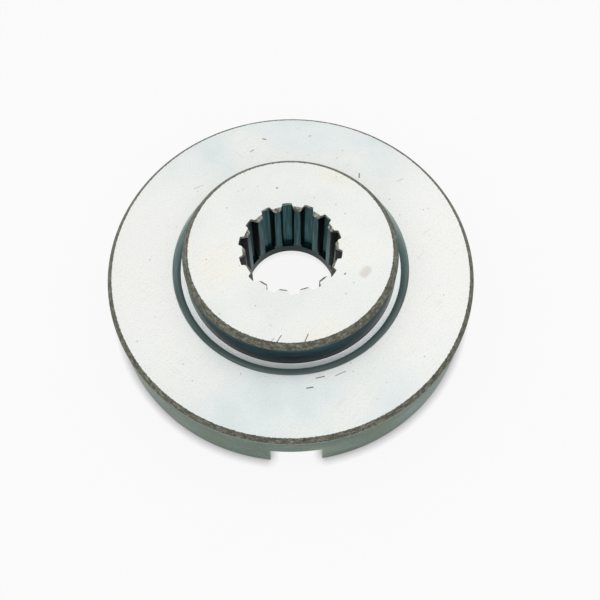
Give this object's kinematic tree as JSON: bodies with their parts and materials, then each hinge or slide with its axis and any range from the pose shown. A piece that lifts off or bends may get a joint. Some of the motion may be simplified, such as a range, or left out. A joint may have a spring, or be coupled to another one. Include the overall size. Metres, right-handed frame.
{
  "type": "string trimmer flange",
  "caption": "Round steel flange with a splined bore, a raised centring boss and a notched rim, for the output shaft of a string trimmer's gear head.",
  "frame": {"origin": "on the shaft axis, in the plane of the rim's lower edge, on which the part rests", "axes": "+Z along the shaft axis towards the cutter, out of the raised boss; -Y towards the rim's notch"},
  "size_m": [0.044, 0.044, 0.012],
  "materials": {
    "zinc_plated_steel": "bright clear zinc plating over turned steel, satin, with a cool blue-green tint on the side walls"
  },
  "bodies": {
    "root": {"flange": "zinc_plated_steel"}
  },
  "joints": []
}
